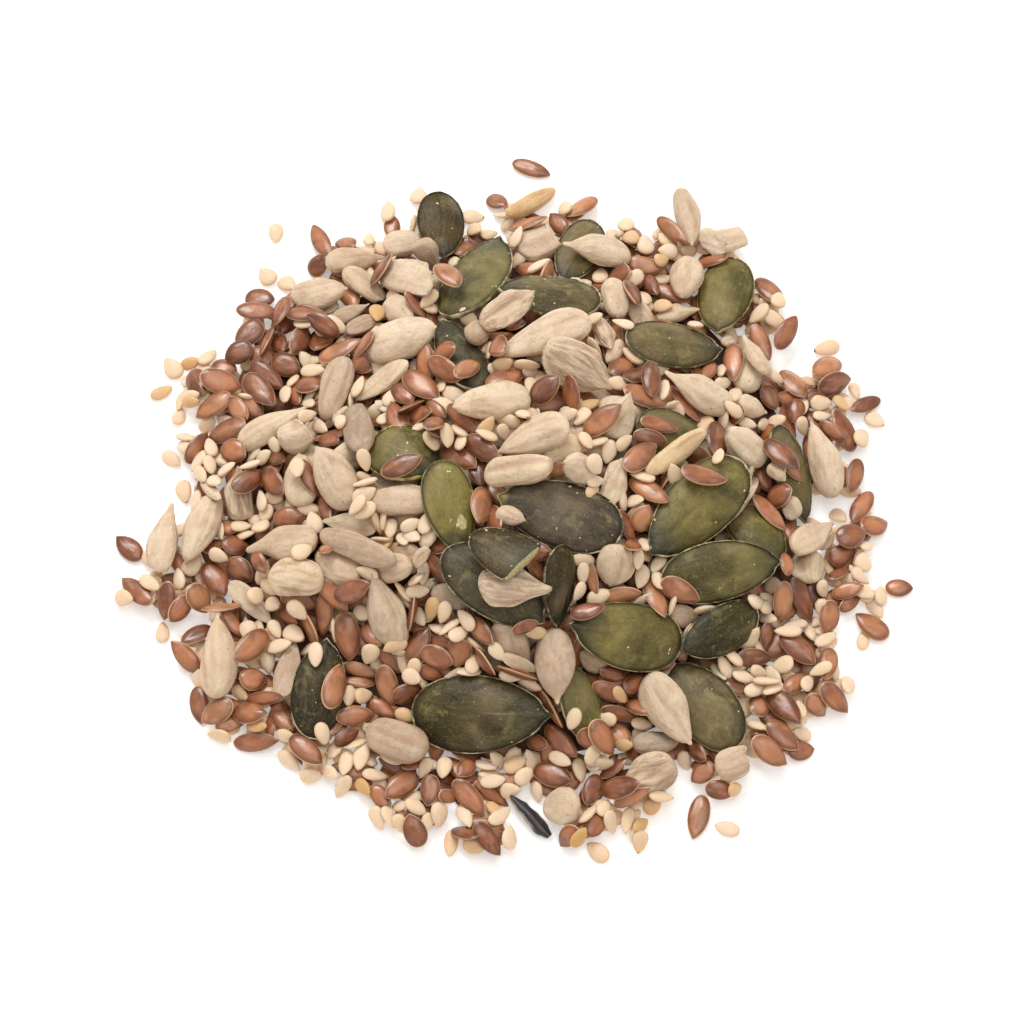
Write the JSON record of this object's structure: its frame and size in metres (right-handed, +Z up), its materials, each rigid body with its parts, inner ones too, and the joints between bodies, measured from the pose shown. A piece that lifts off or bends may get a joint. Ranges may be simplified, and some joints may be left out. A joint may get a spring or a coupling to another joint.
{
  "type": "heap of mixed seeds",
  "caption": "Low round heap of loose mixed seeds, pumpkin, sunflower, flax and sesame, thinning out to single seeds round its foot, with a flat underside.",
  "frame": {"origin": "on the ground, in the middle of the heap's width and depth", "axes": "+Z up, +X to the right and -Y to the front as the heap is seen in the picture"},
  "size_m": [0.087, 0.0844, 0.0175],
  "materials": {
    "seed_heap": "matt mixed seeds, the average of the kinds below, used on the core between the loose seeds",
    "pumpkin_seed": "satin olive to dark grey-green skin with a thin pale rim line",
    "sunflower_kernel": "matt beige with faint lengthwise ridges",
    "flax_seed": "glossy reddish brown with a paler edge",
    "sesame_seed": "satin cream",
    "husk": "satin black sliver of seed husk"
  },
  "bodies": {
    "root": {"seed_heap": "seed_heap"}
  },
  "joints": []
}
